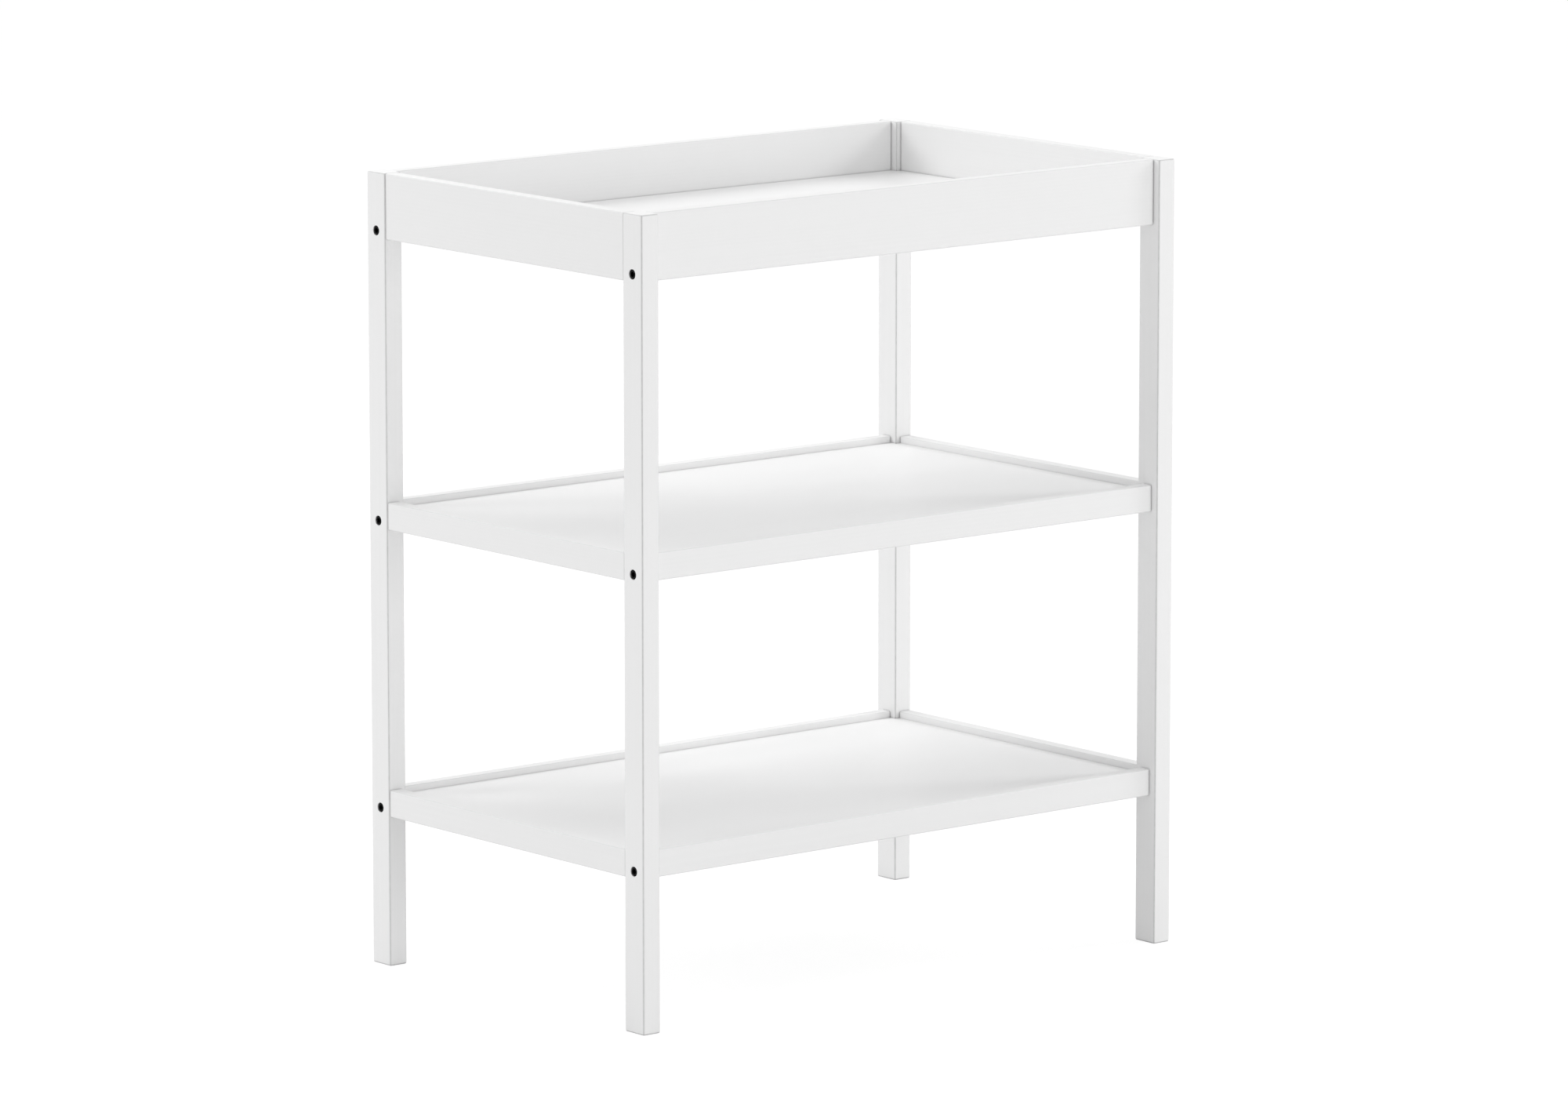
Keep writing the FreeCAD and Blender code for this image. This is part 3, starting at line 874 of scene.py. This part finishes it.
def solid_boxes(node):
    """The lowest and highest corner of each separate solid in a CAD node."""
    bm = bmesh.new()
    bm.from_mesh(frame["nodes"][node].data)
    bmesh.ops.remove_doubles(bm, verts=bm.verts, dist=MERGE_DISTANCE)
    left = set(bm.verts)
    boxes = []
    while left:
        solid = {left.pop()}
        reached = solid
        while reached:
            reached = {edge.other_vert(vertex) for vertex in reached for edge in vertex.link_edges} - solid
            solid = solid | reached
        left -= solid
        sides = list(zip(*(vertex.co for vertex in solid)))
        boxes.append([Vector([limit(side) for side in sides]) for limit in (min, max)])
    bm.free()
    return sorted(boxes, key=lambda box: tuple(box[0]))


def turn_dowel(length, radius, size):
    """A fluted dowel in its own frame, along Z and centred."""
    bm = bmesh.new()
    steps = 2 * size.flutes
    end = length / 2
    outline = [
        (radius - size.chamfer, -end),
        (radius, size.chamfer - end),
        (radius, end - size.chamfer),
        (radius - size.chamfer, end),
    ]
    turn_outline(bm, outline, steps)
    cut_grooves(bm, bm.verts, steps, size.flute_depth)
    for height in (-end, end):
        bmesh.ops.edgeloop_fill(bm, edges=open_edges(bm, height))
    check_closed(bm, "dowel")
    return bm


def model_dowels(node, size):
    """Every dowel of a CAD node, fluted and in its place, in one mesh."""
    joined = bpy.data.meshes.new("dowels")
    together = bmesh.new()
    together.verts.layers.float_vector.new(OWN_PLACE)
    for number, (low, high) in enumerate(solid_boxes(node)):
        extent = high - low
        axis = Vector([float(side == max(extent)) for side in extent])
        bm = turn_dowel(max(extent), min(extent) / 2, size)
        turn = UPRIGHT.rotation_difference(axis).to_matrix().to_4x4()
        own_layer = bm.verts.layers.float_vector.new(OWN_PLACE)
        for vertex in bm.verts:
            vertex[own_layer] = vertex.co + Vector((number * size.blank_spacing, 0.0, 0.0))
        bmesh.ops.transform(bm, matrix=Matrix.Translation((low + high) / 2) @ turn, verts=bm.verts)
        bm.to_mesh(joined)
        bm.free()
        together.from_mesh(joined)
    bpy.data.meshes.remove(joined)
    return together


# ---------------------------------------------------------------- stage


def lay_floor(stage):
    """A round pale floor under the feet."""
    bm = bmesh.new()
    bmesh.ops.create_circle(bm, cap_ends=True, segments=FLOOR_SIDES, radius=stage.floor_radius)
    bmesh.ops.translate(bm, verts=bm.verts, vec=(0.0, 0.0, CAD_BOX[0].z))
    mesh = bpy.data.meshes.new("floor")
    bm.to_mesh(mesh)
    bm.free()
    mesh.materials.append(floor_material(stage))
    floor = bpy.data.objects.new("floor", mesh)
    bpy.context.scene.collection.objects.link(floor)


def floor_material(stage):
    """Pale floor, mostly plain white where the camera sees it, which leaves a faint contact shadow."""
    material, wiring, shader = new_material("pale_floor")
    place, _ = piece_coordinates(wiring)
    speckle = wiring.noise(place, FLOOR_SPECKLE_SCALE)
    set_inputs(wiring, shader, {
        "Base Color": clouded(wiring, stage.floor_colour, speckle, FLOOR_SPECKLE_SHADE),
        "Roughness": FLOOR_ROUGHNESS,
        "Specular IOR Level": 0.0,
    })
    glow = wiring.add("ShaderNodeEmission", {"Color": opaque(WHITE), "Strength": FLOOR_WHITE}).outputs[0]
    clear = wiring.add("ShaderNodeBsdfTransparent").outputs[0]
    seen = wiring.add("ShaderNodeLightPath").outputs["Is Camera Ray"]
    below = wiring.add("ShaderNodeNewGeometry").outputs["Backfacing"]
    open_share = wiring.math("MAXIMUM", below, under_feet(wiring, place, stage.foot_margin))
    share = wiring.math("MULTIPLY", seen, stage.floor_glow)
    lit = wiring.add("ShaderNodeMixShader", {0: share, 1: shader.outputs[0], 2: glow}).outputs[0]
    both = wiring.add("ShaderNodeMixShader", {0: open_share, 1: lit, 2: clear}).outputs[0]
    wiring.connect(both, material.node_tree.nodes["Material Output"].inputs["Surface"])
    return material


def under_feet(wiring, place, margin):
    """1 where a foot covers the floor, which is left clear there to light the foot's underside."""
    low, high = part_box("back_right_leg")
    sides = wiring.add("ShaderNodeSeparateXYZ", {0: wiring.vector_math("ABSOLUTE", place)}).outputs
    covered = 1.0
    for axis, label in enumerate("XY"):
        edges = {"GREATER_THAN": low[axis] + margin, "LESS_THAN": high[axis] - margin}
        for operation, edge in edges.items():
            covered = wiring.math("MULTIPLY", covered, wiring.math(operation, sides[label], edge))
    return covered


def light_room(scene, stage):
    """Even light from all round, with plain white where the camera sees past the floor."""
    world = bpy.data.worlds.new("studio")
    world.use_nodes = True
    scene.world = world
    wiring = Wiring(world.node_tree)
    world.node_tree.nodes.clear()
    seen = wiring.add("ShaderNodeLightPath").outputs["Is Camera Ray"]
    room = wiring.add("ShaderNodeBackground", {"Strength": stage.room_light, "Color": opaque(WHITE)})
    white = wiring.add("ShaderNodeBackground", {"Strength": 1.0, "Color": opaque(WHITE)})
    both = wiring.add("ShaderNodeMixShader", {0: seen, 1: room.outputs[0], 2: white.outputs[0]})
    wiring.add("ShaderNodeOutputWorld", {"Surface": both.outputs[0]})


def set_softboxes(scene, stage):
    """Softboxes round the table, aimed at its middle."""
    middle = Vector((0.0, 0.0, TABLE_HEIGHT / 2))
    kinds = {
        "narrow": (stage.softbox_size, stage.softbox_distance),
        "wide": (stage.wide_softbox_size, stage.wide_softbox_distance),
    }
    for name, (round_camera, raised, kind) in SOFTBOXES.items():
        side, distance = kinds[kind]
        lamp = bpy.data.lights.new(f"{name}_softbox", "AREA")
        lamp.shape = "SQUARE"
        lamp.size = side
        lamp.energy = getattr(stage, f"{name}_light")
        light = bpy.data.objects.new(lamp.name, lamp)
        back = look_back(stage.camera_azimuth + math.radians(round_camera), math.radians(raised))
        light.location = middle + back * distance
        light.rotation_mode = "QUATERNION"
        light.rotation_quaternion = back.to_track_quat("Z", "Y")
        light.visible_camera = False
        scene.collection.objects.link(light)


def look_back(azimuth, elevation):
    """The direction from what is looked at towards the viewer. Azimuth 0 looks along +Y."""
    level = math.cos(elevation)
    return Vector((math.sin(azimuth) * level, -math.cos(azimuth) * level, math.sin(elevation)))


def set_camera(scene, stage):
    """A long lens at a three-quarter view from the front left."""
    data = bpy.data.cameras.new("camera")
    data.lens = stage.camera_lens
    data.clip_end = CAMERA_REACH
    camera = bpy.data.objects.new("camera", data)
    back = look_back(stage.camera_azimuth, stage.camera_elevation)
    camera.location = Vector(stage.aim) + back * stage.camera_distance
    camera.rotation_mode = "QUATERNION"
    camera.rotation_quaternion = back.to_track_quat("Z", "Y")
    scene.collection.objects.link(camera)
    scene.camera = camera


# ---------------------------------------------------------------- operators


def need_nodes(names):
    """Stops an operator whose CAD nodes aren't there."""
    missing = [name for name in names if name not in frame["nodes"]]
    if missing:
        raise RuntimeError(f"the frame has no {', '.join(missing)}")


def split_levels(names, settings):
    """The shelves' pieces and then the tray's, each with the painted shade of its creases."""
    shelf = [name for name in names if name.startswith(SHELVES)]
    tray = [name for name in names if name not in shelf]
    return ("shelf", shelf, settings.shelf_crease_shade), ("tray", tray, settings.tray_crease_shade)


def lacquer_rails(names, kind, grain, settings):
    """Lacquers rails of one kind, whose grain runs along an axis."""
    for level, rails, crease_shade in split_levels(names, settings):
        material = lacquered_wood(
            f"lacquered_{level}_{kind}_rail", grain, settings.rail_arris_shade, crease_shade, settings
        )
        finish_nodes(rails, material)


class TABLE_OT_lacquer_legs(Operator):
    """Lacquers the four legs, whose grain runs upright"""

    bl_idname = "changing_table.lacquer_legs"
    bl_label = "Lacquer the legs"

    def execute(self, context):
        need_nodes(LEGS)
        lacquer = context.scene.table_lacquer
        shades = (lacquer.leg_arris_shade, lacquer.leg_crease_shade)
        finish_nodes(LEGS, lacquered_wood("lacquered_leg", UPRIGHT, *shades, lacquer))
        return {"FINISHED"}


class TABLE_OT_lacquer_long_rails(Operator):
    """Lacquers the six long rails, whose grain runs along X"""

    bl_idname = "changing_table.lacquer_long_rails"
    bl_label = "Lacquer the long rails"

    def execute(self, context):
        need_nodes(LONG_RAILS)
        lacquer_rails(LONG_RAILS, "long", ALONG_X, context.scene.table_lacquer)
        return {"FINISHED"}


class TABLE_OT_lacquer_end_rails(Operator):
    """Lacquers the six end rails, whose grain runs along Y"""

    bl_idname = "changing_table.lacquer_end_rails"
    bl_label = "Lacquer the end rails"

    def execute(self, context):
        need_nodes(END_RAILS)
        lacquer_rails(END_RAILS, "end", ALONG_Y, context.scene.table_lacquer)
        return {"FINISHED"}


class TABLE_OT_lacquer_boards(Operator):
    """Lacquers the two shelf boards and the tray floor"""

    bl_idname = "changing_table.lacquer_boards"
    bl_label = "Lacquer the boards"

    def execute(self, context):
        need_nodes(BOARDS)
        lacquer = context.scene.table_lacquer
        for level, names, crease_shade in split_levels(BOARDS, lacquer):
            finish_nodes(names, lacquered_board(f"lacquered_{level}_board", crease_shade, lacquer))
        return {"FINISHED"}


class TABLE_OT_fit_barrel_nuts(Operator):
    """Plates the twelve barrel nuts"""

    bl_idname = "changing_table.fit_barrel_nuts"
    bl_label = "Plate the barrel nuts"

    def execute(self, context):
        need_nodes(BARREL_NUTS)
        for name in BARREL_NUTS:
            low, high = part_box(name)
            finish_nodes([name], zinc_plate("zinc_" + name, (low + high) / 2, context.scene.table_nut))
        return {"FINISHED"}


class TABLE_OT_fit_bolts(Operator):
    """Models the twelve socket head bolts with knurl, hex socket and thread"""

    bl_idname = "changing_table.fit_bolts"
    bl_label = "Fit the bolts"

    def execute(self, context):
        need_nodes(BOLTS)
        size = context.scene.table_bolt
        material = black_oxide("black_oxide", size)
        master = model_bolt(size)
        for number, node in enumerate(BOLTS):
            name = node.replace("_bolt", "_socket_bolt")
            turned = place_bolt(master, node, number * KEY_TURN)
            new_piece(name, turned, material, node, BOLT_CREASE)
        master.free()
        return {"FINISHED"}


class TABLE_OT_drive_dowels(Operator):
    """Models the fluted beech dowels of every joint"""

    bl_idname = "changing_table.drive_dowels"
    bl_label = "Drive the dowels"

    def execute(self, context):
        need_nodes(DOWEL_GROUPS)
        size = context.scene.table_dowel
        material = bare_beech("bare_beech", size)
        for node in DOWEL_GROUPS:
            name = node.replace("_dowels", "_fluted_dowels")
            new_piece(name, model_dowels(node, size), material, node, DOWEL_CREASE)
        return {"FINISHED"}


class TABLE_OT_set_stage(Operator):
    """Lays the floor and sets the light and the camera"""

    bl_idname = "changing_table.set_stage"
    bl_label = "Set the stage"

    def execute(self, context):
        stage = context.scene.table_stage
        lay_floor(stage)
        light_room(context.scene, stage)
        set_softboxes(context.scene, stage)
        set_camera(context.scene, stage)
        context.scene.view_settings.view_transform = "Standard"
        return {"FINISHED"}


class TABLE_PT_sidebar(Panel):
    """The table's operators and settings in the sidebar"""

    bl_idname = "TABLE_PT_sidebar"
    bl_label = "Changing table"
    bl_space_type = "VIEW_3D"
    bl_region_type = "UI"
    bl_category = "Table"

    def draw(self, context):
        column = self.layout.column()
        for operator in OPERATORS:
            column.operator(operator.bl_idname)
        for group_name, group in SETTINGS.items():
            column.separator()
            column.label(text=group.__doc__)
            for name in group.__annotations__:
                column.prop(getattr(context.scene, group_name), name)


SETTINGS = {
    "table_lacquer": LacquerSettings,
    "table_bolt": BoltSettings,
    "table_nut": NutSettings,
    "table_dowel": DowelSettings,
    "table_stage": StageSettings,
}
OPERATORS = (
    TABLE_OT_lacquer_legs,
    TABLE_OT_lacquer_long_rails,
    TABLE_OT_lacquer_end_rails,
    TABLE_OT_lacquer_boards,
    TABLE_OT_fit_bolts,
    TABLE_OT_fit_barrel_nuts,
    TABLE_OT_drive_dowels,
    TABLE_OT_set_stage,
)


def register():
    """Registers the classes and puts each group of settings on the scene."""
    for group in SETTINGS.values():
        bpy.utils.register_class(group)
    for entry in (*OPERATORS, TABLE_PT_sidebar):
        bpy.utils.register_class(entry)
    for name, group in SETTINGS.items():
        setattr(bpy.types.Scene, name, PointerProperty(type=group))


def unregister():
    """Takes the settings and the classes away again."""
    for name in SETTINGS:
        delattr(bpy.types.Scene, name)
    for entry in (TABLE_PT_sidebar, *reversed(OPERATORS)):
        bpy.utils.unregister_class(entry)
    for group in reversed(SETTINGS.values()):
        bpy.utils.unregister_class(group)


def main():
    """Finishes the whole table and sets the stage."""
    register()
    bpy.ops.changing_table.lacquer_legs()
    bpy.ops.changing_table.lacquer_long_rails()
    bpy.ops.changing_table.lacquer_end_rails()
    bpy.ops.changing_table.lacquer_boards()
    bpy.ops.changing_table.fit_bolts()
    bpy.ops.changing_table.fit_barrel_nuts()
    bpy.ops.changing_table.drive_dowels()
    bpy.ops.changing_table.set_stage()


if __name__ == "__main__":
    main()
